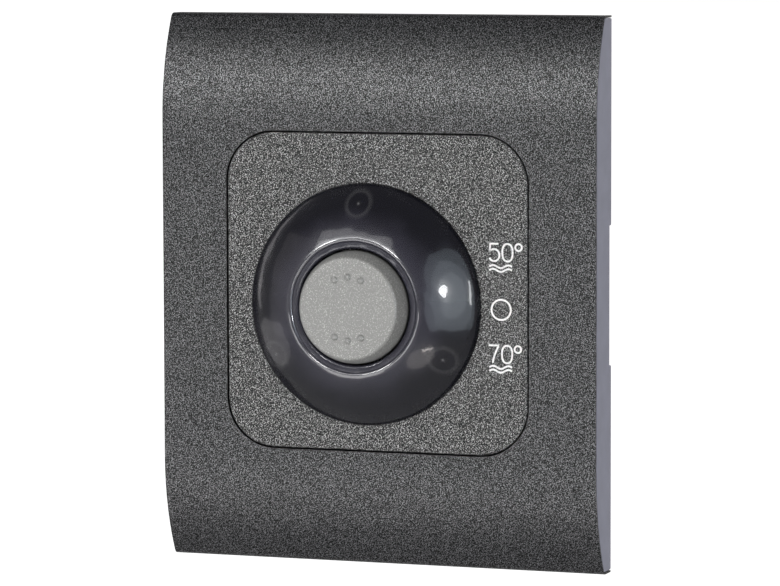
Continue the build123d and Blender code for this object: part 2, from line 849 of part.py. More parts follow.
# Rear cover: a disc on the collar's ledge, with snap arms and a window for the cable's plug
with BuildPart() as snap_arms:
    arm_outer = bore_radius - snap_gap
    arm_top = rear_inner_depth + snap_length
    with BuildSketch(body_section):
        with BuildLine():
            Polyline(
                (arm_outer - snap_wall, rear_inner_depth - rear_wall / 2),
                (arm_outer, rear_inner_depth - rear_wall / 2),
                (arm_outer, arm_top - snap_nib_height),
                (bore_radius + snap_nib, arm_top - snap_nib_height),
                (arm_outer, arm_top),
                (arm_outer - snap_wall, arm_top),
                close=True,
            )
        make_face()
    revolve(axis=body_axis)
    with BuildSketch(at(-body_length)):
        with PolarLocations(bore_radius, snap_count, start_angle=snap_angle):
            Rectangle(bore_radius, snap_width)
    extrude(amount=body_length, mode=Mode.INTERSECT)

with BuildPart() as rear_cover:
    with BuildSketch(at(-body_length)):
        Circle(bore_radius + rear_ledge - rear_gap)
    extrude(amount=rear_wall)
    fillet(rear_cover.faces().sort_by(Axis.Y)[-1].edges(), radius=rear_round)
    add(snap_arms.part)
    with BuildSketch(at(-body_length)):
        with Locations((socket_x, socket_z)):
            Rectangle(socket_width + 2 * rear_window_gap, socket_height + 2 * rear_window_gap)
    extrude(amount=rear_wall, mode=Mode.SUBTRACT)
finish(rear_cover.part, "rear_cover")
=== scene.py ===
import math

import bmesh
import bpy
from mathutils import Matrix, Vector


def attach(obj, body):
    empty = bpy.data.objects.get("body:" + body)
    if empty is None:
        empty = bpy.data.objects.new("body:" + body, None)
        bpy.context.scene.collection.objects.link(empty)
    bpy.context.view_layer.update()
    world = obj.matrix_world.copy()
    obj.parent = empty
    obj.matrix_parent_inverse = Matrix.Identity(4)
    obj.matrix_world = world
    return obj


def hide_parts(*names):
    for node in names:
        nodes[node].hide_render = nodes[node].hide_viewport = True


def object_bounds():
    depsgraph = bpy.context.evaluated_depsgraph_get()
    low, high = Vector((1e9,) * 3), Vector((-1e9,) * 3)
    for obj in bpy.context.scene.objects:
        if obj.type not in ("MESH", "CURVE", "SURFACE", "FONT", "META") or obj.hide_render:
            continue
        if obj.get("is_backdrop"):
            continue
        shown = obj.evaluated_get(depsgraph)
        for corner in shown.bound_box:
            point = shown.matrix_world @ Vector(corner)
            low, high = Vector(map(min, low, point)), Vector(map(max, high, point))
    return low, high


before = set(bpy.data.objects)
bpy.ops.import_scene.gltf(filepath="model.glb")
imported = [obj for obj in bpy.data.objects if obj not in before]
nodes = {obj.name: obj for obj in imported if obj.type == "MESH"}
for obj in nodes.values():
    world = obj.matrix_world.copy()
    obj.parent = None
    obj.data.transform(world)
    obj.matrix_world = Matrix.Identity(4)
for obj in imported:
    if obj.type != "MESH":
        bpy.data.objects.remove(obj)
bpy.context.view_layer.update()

# Lengths are in metres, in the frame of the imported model
MM = 0.001

# Camera: place, turns, the photograph's width and focal length in pixels, the sensor in millimetres
CAMERA_PLACE = Vector((289.101, -798.375, 77.127)) * MM
CAMERA_YAW = math.radians(19.946)
CAMERA_PITCH = math.radians(5.247)
CAMERA_ROLL = math.radians(-0.155)
PHOTO_WIDTH = 780
FOCAL_PIXELS = 4460.767
SENSOR_WIDTH = 36

# Floor: depth below the panel, side, colour, and its own glow for the camera and for gloss
FLOOR_DROP = 450 * MM
FLOOR_SIZE = 40
FLOOR_GREY = (0.85, 0.85, 0.85)
FLOOR_LIFT = 0.88
FLOOR_GLOSS_LIFT = 0.25

# Surroundings: strength of the fill, and the share of white in gloss and glass by height of direction
FILL = 0.3
WALL_FADE = {"From Min": 0.05, "From Max": 0.5, "To Min": 0.3, "To Max": 0.06}

# Light colours
WHITE = (1, 1, 1)
SKY = (0.78, 0.89, 1.0)
SKY_MIDDLE = (0.80, 0.90, 1.0)
SKY_CORE = (0.85, 0.93, 1.0)
WARM = (1.0, 0.95, 0.9)
ROSY = (1.0, 0.97, 0.97)
LILAC = (1.0, 0.97, 1.0)

# Lamps: name, direction to it, distance, width, height, surface brightness and outline
LAMPS = (
    ("lamp_left", (-0.50, -0.83, 0.25), 1.3, 0.21, 0.21, 26.0, "RECTANGLE"),
    ("lamp_middle", (-0.115, -0.961, 0.244), 1.3, 0.21, 0.21, 26.0, "RECTANGLE"),
    ("lamp_right", (0.61, -0.785, 0.09), 1.3, 0.15, 0.15, 50.0, "DISK"),
    ("lamp_back", (0.05, 0.93, 0.36), 1.4, 0.7, 0.7, 3.5, "RECTANGLE"),
)

# Cards, which show in gloss and light nothing matt: the same columns, and the colour
CARDS = (
    ("card_right", (0.70, -0.70, 0.02), 1.5, 1.35, 1.8, 2.0, "ELLIPSE", SKY),
    ("card_right_middle", (0.70, -0.70, 0.03), 1.45, 1.0, 1.25, 1.5, "ELLIPSE", SKY_MIDDLE),
    ("card_right_core", (0.70, -0.70, 0.04), 1.4, 0.62, 0.7, 1.8, "ELLIPSE", SKY_CORE),
    ("card_right_rim", (0.88, -0.47, 0.08), 1.3, 0.05, 0.34, 22.0, "RECTANGLE", WHITE),
    ("card_right_low", (0.30, -0.77, -0.56), 0.7, 0.24, 0.17, 2.2, "ELLIPSE", WARM),
    ("card_right_streak", (0.38, -0.79, -0.47), 0.7, 0.10, 0.012, 22.0, "RECTANGLE", WARM),
    ("card_low", (-0.32, -0.78, -0.53), 0.7, 0.36, 0.16, 4.5, "RECTANGLE", ROSY),
    ("card_high", (-0.35, -0.80, 0.48), 1.5, 1.20, 0.30, 3.5, "RECTANGLE", WHITE),
    ("card_left", (-0.88, -0.45, 0.0), 1.5, 0.80, 1.5, 0.5, "RECTANGLE", LILAC),
    ("card_left_rim", (-0.95, 0.05, 0.30), 1.3, 0.10, 1.2, 2.5, "RECTANGLE", LILAC),
    ("card_upper", (-0.34, -0.88, 0.32), 1.6, 1.3, 0.42, 5.0, "RECTANGLE", WHITE),
    ("card_lower", (-0.34, -0.88, -0.26), 1.0, 1.0, 0.26, 5.0, "RECTANGLE", WHITE),
    ("card_left_low", (-0.90, -0.12, -0.34), 0.9, 0.55, 0.30, 1.3, "ELLIPSE", LILAC),
)

# The plate's front, which carries the printed marks and the lens
PLATE_FACE = -9.5 * MM

# Printed marks on the plate: strokes and sizes
PRINT_STROKE = 0.35 * MM
PRINT_RAISE = 0.02 * MM
PRINT_SINK = 0.01 * MM
DIGIT_HEIGHT = 3.27 * MM
ZERO_WIDTH = 2.02 * MM
FIVE_WIDTH = 1.85 * MM
SEVEN_WIDTH = 2.02 * MM
DEGREE_RADIUS = 0.64 * MM
CIRCLE_RADIUS = 1.9 * MM
WAVE_HEIGHT = 0.27 * MM
WAVE_WIDTH = 4.5 * MM
WAVE_PITCH = 3.05 * MM
WAVE_GAP = 0.71 * MM
WAVE_COUNT = 2
ARC_STEPS = 48
LEG_STEPS = 12
MITRE_LIMIT = 0.5

# Shapes of the figures in shares of their width and height; the bowl turns this many degrees each way
ZERO_POWER = 2.4
FIVE_BAR = (0.95, 0.10)
FIVE_BOWL = (1.12, 0.69)
FIVE_BOWL_TURN = 152
SEVEN_FOOT = 0.40
SEVEN_BEND = (0.52, 0.5)
WAVE_START = 0.25

# Places of the printed marks
MARK_LEFT = 22.6 * MM
FIVE_LEFT = MARK_LEFT + 0.05 * MM
SEVEN_LEFT = MARK_LEFT - 0.1 * MM
UPPER_BASE = 6.65 * MM
LOWER_BASE = -12.48 * MM

# The grain: pits, mean level and tops in the noise, and the turn of its axes in radians
TONE_PLACES = (0.42, 0.55, 0.70)
GLOSS_PLACES = (0.47, 0.68)
PIT_ROUGHNESS = 2
GRAIN_DETAIL = 1.0
GRAIN_ROUGHNESS = 0.6
GRAIN_TURN = (0.6, 0.35, 0.9)
# Grain tones from pit to mean to top: partly the plastic's own uneven tone, partly painted shade in the
# pits and painted glints on the tops
FRAME_TONES = ((0.001, 0.001, 0.001), (0.003, 0.003, 0.004), (0.150, 0.150, 0.165))
PLATE_TONES = ((0.003, 0.003, 0.003), (0.022, 0.022, 0.022), (0.44, 0.44, 0.44))
REAR_TONES = ((0.006, 0.006, 0.006), (0.016, 0.016, 0.016), (0.06, 0.06, 0.06))

# Grained finishes: tones, whose pale tops are partly painted glints and dark pits partly painted shade,
# specular level of pits and tops, size and depth of the grain, roughness
GRAINED = {
    "frame_grain": (FRAME_TONES, (0.1, 1.0), 0.19 * MM, 0.045 * MM, 0.22),
    "plate_grain": (PLATE_TONES, (0.1, 1.0), 0.19 * MM, 0.06 * MM, 0.22),
    "rear_grain": (REAR_TONES, (0.2, 0.6), 0.3 * MM, 0.03 * MM, 0.45),
}

# Satin finishes vary this much in tone and roughness, with broad clouds of this many cells
SATIN_PLACES = (0.3, 0.7)
SATIN_TONES = (0.94, 1.06)
SATIN_ROUGHNESS = (0.9, 1.1)
SATIN_CLOUD = 40

# Satin finishes: colour, roughness, size and depth of the unevenness, metallic
SATIN = {
    "trim_satin": ((0.345, 0.350, 0.440), 0.45, 0.12 * MM, 0.004 * MM, 0.0),
    "steel": ((0.55, 0.55, 0.55), 0.3, 0.1 * MM, 0.004 * MM, 1.0),
    "tinned": ((0.72, 0.66, 0.50), 0.3, 0.1 * MM, 0.004 * MM, 1.0),
    "black_moulding": ((0.02, 0.02, 0.02), 0.45, 0.2 * MM, 0.01 * MM, 0.0),
    "laminate": ((0.03, 0.13, 0.06), 0.3, 0.4 * MM, 0.01 * MM, 0.0),
    "nylon": ((0.62, 0.60, 0.53), 0.5, 0.3 * MM, 0.01 * MM, 0.0),
    "yellow_lens": ((0.75, 0.5, 0.05), 0.15, 0.5 * MM, 0.004 * MM, 0.0),
    "red_lens": ((0.6, 0.03, 0.02), 0.15, 0.5 * MM, 0.004 * MM, 0.0),
    "lacquer": ((0.50, 0.38, 0.24), 0.35, 0.4 * MM, 0.01 * MM, 0.0),
    "sleeve": ((0.03, 0.03, 0.06), 0.25, 0.4 * MM, 0.006 * MM, 0.0),
}

# The rocker's plastic: colour, gloss, grain with its bright specks, which are painted glints, and painted
# shade in the creases
ROCKER_GREY = (0.276, 0.276, 0.266)
ROCKER_ROUGHNESS = 0.38
ROCKER_SPECULAR = 0.35
ROCKER_CELL = 0.17 * MM
ROCKER_DEPTH = 0.006 * MM
ROCKER_GLINT_SPECKS = ((0.35, 0.93), (0.60, 1.0), (0.74, 2.9))
CREASE_REACH = 0.5 * MM
CREASE_SHADE = (0.03, 0.03, 0.029)
CREASE_STOPS = ((0.52, CREASE_SHADE), (0.99, ROCKER_GREY))

# The printed ink: white, its patches and its small bumps
INK_WHITE = (0.8, 0.8, 0.8)
INK_ROUGHNESS = 0.5
INK_PATCH = 0.35 * MM
INK_STOPS = ((0.3, 0.62), (0.6, 0.85))
INK_CELL = 0.3 * MM
INK_DEPTH = 0.02 * MM

# The lens's plastic: the tints run from the crest outwards, the other stops in shares of their reach
LENS_PALE_REACH = 12.5 * MM
LENS_DEEP_REACH = 19.5 * MM
LENS_WANDER = 5 * MM
LENS_PALE = (0.042, 0.041, 0.058)
LENS_DEEP = (0.004, 0.004, 0.009)
LENS_ALPHA = 0.88
LENS_SPECULAR = 0.2
LENS_COAT_IOR = 1.8
LENS_COAT_ROUGHNESS = 0.035
LENS_POLISH = ((0.51, 0.18), (0.53, 0.65), (0.57, 0.65), (0.60, 0.18))
LENS_CLOUD = 5 * MM
LENS_CLOUD_DETAIL = 3.0
LENS_HAZE = ((0.3, 0.10), (0.7, 0.24))
# Painted glints over the posts: a bright spot over each post's tip and a faint bright ring near its boss's
# edge, in shares of this reach
POST_GLINT_REACH = 3 * MM
POST_GLINTS = ((0.0, 0.16), (0.09, 0.03), (0.18, 0.0), (0.62, 0.0), (0.74, 0.035), (1.0, 0.0))

# The lens's shape: heights are over the plate
RING_PLACE = (-2.1 * MM, -2.25 * MM)
RING_RADIUS = 22.99 * MM
RING_FOOT = -0.5 * MM
RIM_HEIGHT = 0.9 * MM
RIM_ROUND = 0.8 * MM
DOME_RADIUS = 25 * MM
CREST_RADIUS = 12.65 * MM
CREST_HEIGHT = 6.9 * MM
CREST_ROUND = 0.55 * MM
LIP_RADIUS = 12.3 * MM
LIP_HEIGHT = 6.5 * MM
LIP_ROUND = 0.5 * MM
HOLE_RADIUS = 11.1 * MM
TUBE_RADIUS = 12.4 * MM
LENS_WALL = 2 * MM
FOOT_WALL = 2 * MM
SKIRT_WALL = 2.75 * MM
CAVITY_ROUND = 1.1 * MM
CAVITY_LIFT = 0.05 * MM
LENS_SEGMENTS = 240
DOME_STEPS = 40
ROUND_STEPS = 6
SHARP_ANGLE = math.radians(35)
WELD_DISTANCE = MM / 1000

# The lens's ripple: height, width across, and for each wave its count round the lens and its slant
RIPPLE_HEIGHT = 0.010 * MM
RIPPLE_WIDTH = 4.2 * MM
RIPPLES = ((9, 1), (14, -0.6), (23, 1.4))

# The lens's posts: heights are over the plate, and the first post stands at this angle
POST_COUNT = 3
POST_START = math.pi / 2
POST_CIRCLE = 19.4 * MM
POST_RADIUS = 1.5 * MM
POST_BOSS_RADIUS = 2.1 * MM
POST_BOSS_HEIGHT = 2.1 * MM
POST_FOOT = -2.5 * MM
POST_HEAD_FOOT = -3.3 * MM
POST_HEAD_RADIUS = 2.2 * MM
POST_SEGMENTS = 32

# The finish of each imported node
NODE_FINISHES = {
    "cover_frame": "frame_grain",
    "side_trim_left": "trim_satin",
    "side_trim_right": "trim_satin",
    "panel_housing": "plate_grain",
    "lens_ring": "smoked_lens",
    "rocker_cap": "rocker_grain",
    "rocker_pin": "steel",
    "switch_can": "steel",
    "switch_base": "black_moulding",
    "switch_slider": "black_moulding",
    "switch_wipers": "tinned",
    "switch_terminals": "tinned",
    "circuit_board": "laminate",
    "board_screws": "steel",
    "lamp_yellow": "yellow_lens",
    "lamp_red": "red_lens",
    "lamp_spacers": "nylon",
    "lamp_leads": "tinned",
    "resistors": "lacquer",
    "capacitor": "sleeve",
    "control_chip": "black_moulding",
    "chip_legs": "tinned",
    "cable_socket": "nylon",
    "socket_contacts": "tinned",
    "rear_cover": "rear_grain",
}


# Node trees

def new_material(name):
    """An empty node material with its output, ready for a shader."""
    material = bpy.data.materials.new(name)
    material.use_nodes = True
    tree = material.node_tree
    tree.nodes.clear()
    return material, tree, tree.nodes.new("ShaderNodeOutputMaterial")


def join(tree, node, links):
    """Joins outputs of other nodes to a node's sockets."""
    for key, output in links.items():
        tree.links.new(output, node.inputs[key])


def add(tree, kind, links=None, **values):
    """A node of that kind: plain values go on its properties or sockets, links join other outputs."""
    node = tree.nodes.new(kind)
    for key, value in values.items():
        if hasattr(node, key):
            setattr(node, key, value)
        else:
            node.inputs[key].default_value = value
    join(tree, node, links or {})
    return node


def operate(tree, kind, operation, *terms):
    """The outputs of a node that calculates: each term is another node's output or a plain value."""
    node = add(tree, kind, operation=operation)
    for socket, term in zip(node.inputs, terms):
        if isinstance(term, bpy.types.NodeSocket):
            tree.links.new(term, socket)
        else:
            socket.default_value = term
    return node.outputs


def number(tree, operation, *terms):
    """The result of a calculation with numbers."""
    return operate(tree, "ShaderNodeMath", operation, *terms)["Value"]


def vector(tree, operation, *terms):
    """The result of a calculation with places or colours."""
    return operate(tree, "ShaderNodeVectorMath", operation, *terms)["Vector"]


def plan_distance(tree, flat, place):
    """How far a flattened point lies from a place, given by its X and Z."""
    return operate(tree, "ShaderNodeVectorMath", "DISTANCE", flat, (place[0], 0, place[1]))["Value"]


def share(tree, value, start, stop, kind="LINEAR"):
    """How far a value has come from start to stop, as 0 to 1."""
    node = add(tree, "ShaderNodeMapRange", {"Value": value}, interpolation_type=kind)
    node.inputs["From Min"].default_value = start
    node.inputs["From Max"].default_value = stop
    return node.outputs["Result"]


def principled(tree, output, colour, roughness):
    """The main shader, joined to the output."""
    node = add(tree, "ShaderNodeBsdfPrincipled", Roughness=roughness)
    node.inputs["Base Color"].default_value = (*colour, 1)
    tree.links.new(node.outputs["BSDF"], output.inputs["Surface"])
    return node


def object_place(tree):
    """The point's place on the object, in metres."""
    return tree.nodes.new("ShaderNodeTexCoord").outputs["Object"]


def tilted(tree, place):
    """The place in turned axes, so that no flat face lies along the lattice of the noise."""
    return add(tree, "ShaderNodeMapping", {"Vector": place}, Rotation=GRAIN_TURN).outputs["Vector"]


def noise(tree, place, cell, detail=2.0, roughness=0.5):
    """Smooth noise whose grains are about one cell wide."""
    values = {"Scale": 1 / cell, "Detail": detail, "Roughness": roughness}
    return add(tree, "ShaderNodeTexNoise", {"Vector": place}, **values).outputs["Fac"]


def ramp(tree, value, stops):
    """Turns a value into greys or colours between the given stops."""
    stops = list(stops)
    node = add(tree, "ShaderNodeValToRGB", {"Fac": value})
    elements = node.color_ramp.elements
    while len(elements) < len(stops):
        elements.new(0.5)
    for element, (position, colour) in zip(elements, stops):
        element.position = position
        element.color = (*colour, 1) if isinstance(colour, tuple) else (colour, colour, colour, 1)
    return node.outputs["Color"]


def bump(tree, height, distance):
    """A bump of that depth."""
    node = add(tree, "ShaderNodeBump", {"Height": height}, Distance=distance, Strength=1.0)
    return node.outputs["Normal"]


# Finishes

def grained(name, tones, gloss, cell, depth, roughness):
    """Moulded plastic with an eroded grain: small bumps, paler and glossier than the pits; the paler tops
    are partly painted glints and the darker pits partly painted shade.
    """
    material, tree, output = new_material(name)
    grain = noise(tree, tilted(tree, object_place(tree)), cell, GRAIN_DETAIL, GRAIN_ROUGHNESS)
    shader = principled(tree, output, tones[1], roughness)
    roughnesses = (PIT_ROUGHNESS * roughness, roughness)
    join(tree, shader, {
        # Painted glints and shade: the colour follows the grain's height, paler on the tops and darker in
        # the pits
        "Base Color": ramp(tree, grain, zip(TONE_PLACES, tones)),
        "Roughness": ramp(tree, grain, zip(GLOSS_PLACES, roughnesses)),
        "Specular IOR Level": ramp(tree, grain, zip(GLOSS_PLACES, gloss)),
        "Normal": bump(tree, grain, depth),
    })
    return material


def satin(name, colour, roughness, cell, depth, metallic):
    """A smooth moulded or rolled surface with a faint unevenness of gloss and tone."""
    material, tree, output = new_material(name)
    place = object_place(tree)
    fine = noise(tree, place, cell)
    broad = noise(tree, place, cell * SATIN_CLOUD)
    shader = principled(tree, output, colour, roughness)
    shader.inputs["Metallic"].default_value = metallic
    tones = [tuple(c * part for c in colour) for part in SATIN_TONES]
    roughnesses = [roughness * part for part in SATIN_ROUGHNESS]
    join(tree, shader, {
        "Base Color": ramp(tree, broad, zip(SATIN_PLACES, tones)),
        "Roughness": ramp(tree, fine, zip(SATIN_PLACES, roughnesses)),
        "Normal": bump(tree, fine, depth),
    })
    return material


def rocker_plastic(name):
    """Grey moulded plastic with fine bright specks that are painted glints, and painted shade in its
    creases.
    """
    material, tree, output = new_material(name)
    place = tilted(tree, object_place(tree))
    grain = noise(tree, place, ROCKER_CELL, GRAIN_DETAIL, GRAIN_ROUGHNESS)
    shader = principled(tree, output, ROCKER_GREY, ROCKER_ROUGHNESS)
    shader.inputs["Specular IOR Level"].default_value = ROCKER_SPECULAR
    # Painted shade: the colour darkens where ambient occlusion finds a crease
    crease = add(tree, "ShaderNodeAmbientOcclusion", Distance=CREASE_REACH)
    crease_shade = ramp(tree, crease.outputs["AO"], CREASE_STOPS)
    # Painted glints: sparse bright specks in the colour
    specks = ramp(tree, grain, ROCKER_GLINT_SPECKS)
    join(tree, shader, {
        "Base Color": vector(tree, "MULTIPLY", crease_shade, specks),
        "Normal": bump(tree, grain, ROCKER_DEPTH),
    })
    return material


def post_places():
    """The X and Z of the posts under the lens."""
    places = []
    for i in range(POST_COUNT):
        angle = POST_START + 2 * math.pi * i / POST_COUNT
        x = RING_PLACE[0] + POST_CIRCLE * math.cos(angle)
        z = RING_PLACE[1] + POST_CIRCLE * math.sin(angle)
        places.append((x, z))
    return places


def smoked_lens(name):
    """Polished plastic, tinted almost black, paler towards its crest, with painted glints over its posts.
    """
    material, tree, output = new_material(name)
    place = object_place(tree)
    flat = vector(tree, "MULTIPLY", place, (1, 0, 1))
    reach = plan_distance(tree, flat, RING_PLACE)
    clouds = noise(tree, place, LENS_CLOUD, LENS_CLOUD_DETAIL)
    wander = number(tree, "MULTIPLY_ADD", clouds, LENS_WANDER, reach)
    pale_reach = LENS_PALE_REACH + LENS_WANDER / 2
    deep_reach = LENS_DEEP_REACH + LENS_WANDER / 2
    rise = share(tree, wander, pale_reach, deep_reach, "SMOOTHSTEP")
    tint = ramp(tree, rise, ((0, LENS_PALE), (1, LENS_DEEP)))
    gaps = [plan_distance(tree, flat, post) for post in post_places()]
    nearest = gaps[0]
    for gap in gaps[1:]:
        nearest = number(tree, "MINIMUM", nearest, gap)
    # Painted glints over the posts, added to the tint
    seen = ramp(tree, share(tree, nearest, 0, POST_GLINT_REACH), POST_GLINTS)
    shader = principled(tree, output, LENS_DEEP, LENS_HAZE[0][1])
    shader.inputs["Specular IOR Level"].default_value = LENS_SPECULAR
    shader.inputs["Alpha"].default_value = LENS_ALPHA
    shader.inputs["Coat IOR"].default_value = LENS_COAT_IOR
    shader.inputs["Coat Roughness"].default_value = LENS_COAT_ROUGHNESS
    join(tree, shader, {
        "Base Color": vector(tree, "ADD", tint, seen),
        "Roughness": ramp(tree, clouds, LENS_HAZE),
        "Coat Weight": ramp(tree, share(tree, reach, 0, RING_RADIUS), LENS_POLISH),
    })
    return material


def printed_ink(name):
    """White pad-printed ink, slightly uneven over the grain."""
    material, tree, output = new_material(name)
    place = object_place(tree)
    shader = principled(tree, output, INK_WHITE, INK_ROUGHNESS)
    join(tree, shader, {
        "Base Color": ramp(tree, noise(tree, place, INK_PATCH), INK_STOPS),
        "Normal": bump(tree, noise(tree, place, INK_CELL), INK_DEPTH),
    })
    return material


# Finishes with a recipe of their own
RECIPES = {"rocker_grain": rocker_plastic, "smoked_lens": smoked_lens, "printed_ink": printed_ink}

finishes = {name: grained(name, *values) for name, values in GRAINED.items()}
finishes.update({name: satin(name, *values) for name, values in SATIN.items()})
finishes.update({name: recipe(name) for name, recipe in RECIPES.items()})
for node_name, finish_name in NODE_FINISHES.items():
    slots = nodes[node_name].data.materials
    slots.clear()
    slots.append(finishes[finish_name])


# Meshes

def new_piece(name, mesh, material):
    """An object of the scene made from a working mesh, with one finish."""
    data = bpy.data.meshes.new(name)
    mesh.to_mesh(data)
    mesh.free()
    data.materials.append(material)
    piece = bpy.data.objects.new(name, data)
    bpy.context.scene.collection.objects.link(piece)
    return piece


def on_curve(start, corner, end, t):
    """The point at share t of the curve from start to end that heads for the corner."""
    return start * (1 - t) ** 2 + corner * 2 * t * (1 - t) + end * t * t


# Smoked lens, made again with an even, polished surface and a solid skirt

def turn_corner(before, corner, after, reach):
    """Points of a rounded corner that begins and ends one reach away from it."""
    start = corner + (before - corner).normalized() * reach
    end = corner + (after - corner).normalized() * reach
    return [on_curve(start, corner, end, i / ROUND_STEPS) for i in range(ROUND_STEPS + 1)]


def dome_centre():
    """The centre of the dome's arc, through the top of the rim and the crest."""
    rim = Vector((RING_RADIUS, RIM_HEIGHT))
    crest = Vector((CREST_RADIUS, CREST_HEIGHT))
    chord = crest - rim
    back = math.sqrt(DOME_RADIUS ** 2 - (chord.length / 2) ** 2)
    return (rim + crest) / 2 + Vector((chord.y, -chord.x)).normalized() * -back


def dome_points(centre, radius, start, stop):
    """Points on a circle round the centre, from one distance off the axis to another."""
    first = math.acos((start - centre.x) / radius)
    last = math.acos((stop - centre.x) / radius)
    angles = [first + (last - first) * i / DOME_STEPS for i in range(DOME_STEPS + 1)]
    return [centre + Vector((math.cos(a), math.sin(a))) * radius for a in angles]


def lens_profile():
    """The lens from foot to foot: skirt, dome, crest, lip, hole, and the hollow under the dome."""
    centre = dome_centre()
    outer = dome_points(centre, DOME_RADIUS, RING_RADIUS - RIM_ROUND, CREST_RADIUS + CREST_ROUND)
    rim = Vector((RING_RADIUS, RIM_HEIGHT))
    crest = Vector((CREST_RADIUS, CREST_HEIGHT))
    lip = Vector((LIP_RADIUS, LIP_HEIGHT))
    edge = Vector((HOLE_RADIUS, LIP_HEIGHT))
    cavity = RING_RADIUS - SKIRT_WALL
    inner = dome_points(centre, DOME_RADIUS - LENS_WALL, TUBE_RADIUS + CAVITY_ROUND, cavity - CAVITY_ROUND)
    roof_in = inner[0] + (inner[0] - inner[1]).normalized() * CAVITY_ROUND
    roof_out = inner[-1] + (inner[-1] - inner[-2]).normalized() * CAVITY_ROUND
    roof_in.x = TUBE_RADIUS
    roof_out.x = cavity
    return [
        Vector((RING_RADIUS, RING_FOOT)),
        *turn_corner(Vector((RING_RADIUS, RING_FOOT)), rim, outer[0], RIM_ROUND),
        *outer[1:-1],
        *turn_corner(outer[-1], crest, lip, CREST_ROUND),
        lip,
        *turn_corner(lip, edge, Vector((HOLE_RADIUS, 0)), LIP_ROUND),
        Vector((HOLE_RADIUS, 0)),
        Vector((TUBE_RADIUS, 0)),
        *turn_corner(Vector((TUBE_RADIUS, 0)), roof_in, inner[0], CAVITY_ROUND),
        *inner[1:-1],
        *turn_corner(inner[-1], roof_out, Vector((cavity, 0)), CAVITY_ROUND),
        Vector((cavity, CAVITY_LIFT)),
        Vector((RING_RADIUS - FOOT_WALL, CAVITY_LIFT)),
        Vector((RING_RADIUS - FOOT_WALL, RING_FOOT)),
    ]


def post_profile():
    """One post from its boss under the dome to its staked head, with open ends on its axis."""
    return [
        Vector((0, POST_BOSS_HEIGHT)),
        Vector((POST_BOSS_RADIUS, POST_BOSS_HEIGHT)),
        Vector((POST_BOSS_RADIUS, CAVITY_LIFT)),
        Vector((POST_RADIUS, CAVITY_LIFT)),
        Vector((POST_RADIUS, POST_FOOT)),
        Vector((POST_HEAD_RADIUS, POST_FOOT)),
        Vector((POST_HEAD_RADIUS, POST_HEAD_FOOT)),
        Vector((0, POST_HEAD_FOOT)),
    ]


def ripple(angle, reach):
    """The slight waviness of the moulded dome, uneven round it and across it."""
    across = 2 * math.pi * reach / RIPPLE_WIDTH
    turns = sum(math.sin(count * angle + slant * across) for count, slant in RIPPLES)
    return RIPPLE_HEIGHT * turns / 2


def turned(mesh, profile, place, segments, closed, waviness=0.0):
    """Spins a profile of distances and heights about an axis that stands on the plate."""
    rings = []
    for i in range(segments):
        angle = 2 * math.pi * i / segments
        x, z = math.cos(angle), math.sin(angle)
        ring = []
        for point in profile:
            y = PLATE_FACE - point.y - waviness * ripple(angle, point.x)
            ring.append(mesh.verts.new((place[0] + point.x * x, y, place[1] + point.x * z)))
        rings.append(ring)
    count = len(profile)
    for i in range(segments):
        here, there = rings[i], rings[(i + 1) % segments]
        for j in range(count if closed else count - 1):
            k = (j + 1) % count
            mesh.faces.new((here[j], here[k], there[k], there[j]))


def make_lens():
    """The lens with its posts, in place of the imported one."""
    mesh = bmesh.new()
    turned(mesh, lens_profile(), RING_PLACE, LENS_SEGMENTS, closed=True, waviness=1.0)
    for place in post_places():
        turned(mesh, post_profile(), place, POST_SEGMENTS, closed=False)
    bmesh.ops.remove_doubles(mesh, verts=mesh.verts, dist=WELD_DISTANCE)
    bmesh.ops.recalc_face_normals(mesh, faces=mesh.faces)
    for face in mesh.faces:
        face.smooth = True
    piece = new_piece("smoked_lens_ring", mesh, finishes["smoked_lens"])
    piece.data.set_sharp_from_angle(angle=SHARP_ANGLE)
    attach(piece, "panel")
    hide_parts("lens_ring")


make_lens()


# Printed marks

def arc(centre, width, height, start, stop, power=2.0):
    """Points on an ellipse, squarer where power is over 2, angles in degrees from +X towards +Z."""
    points = []
    for i in range(ARC_STEPS + 1):
        angle = math.radians(start + (stop - start) * i / ARC_STEPS)
        x, z = math.cos(angle), math.sin(angle)
        reach = (abs(x) ** power + abs(z) ** power) ** (-1 / power)
        points.append(Vector((centre[0] + x * reach * width / 2, centre[1] + z * reach * height / 2)))
    return points


def ribbon(name, line, closed=False):
    """A printed stroke along a line of points in the plate's own X and Z."""
    mesh = bmesh.new()
    half = PRINT_STROKE / 2
    count = len(line)
    front, back = [], []
    for i, point in enumerate(line):
        before = line[i - 1] if closed or i else point
        after = line[(i + 1) % count] if closed or i < count - 1 else point
        along = (after - before).normalized()
        across = Vector((-along.y, along.x))
        if not closed and i in (0, count - 1):
            turn = 1
        else:
            inner = (point - before).normalized()
            turn = 1 / max(MITRE_LIMIT, abs(across.dot(Vector((-inner.y, inner.x)))))
        pair = [point + across * half * turn, point - across * half * turn]
        front.append([mesh.verts.new((p.x, PLATE_FACE - PRINT_RAISE, p.y)) for p in pair])
        back.append([mesh.verts.new((p.x, PLATE_FACE + PRINT_SINK, p.y)) for p in pair])
    for i in range(count if closed else count - 1):
        j = (i + 1) % count
        mesh.faces.new((front[i][0], front[i][1], front[j][1], front[j][0]))
        mesh.faces.new((back[i][1], back[i][0], back[j][0], back[j][1]))
        mesh.faces.new((front[i][1], back[i][1], back[j][1], front[j][1]))
        mesh.faces.new((back[i][0], front[i][0], front[j][0], back[j][0]))
    if not closed:
        for i in (0, count - 1):
            mesh.faces.new((front[i][0], front[i][1], back[i][1], back[i][0]))
    bmesh.ops.recalc_face_normals(mesh, faces=mesh.faces)
    piece = new_piece(name, mesh, finishes["printed_ink"])
    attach(piece, "panel")


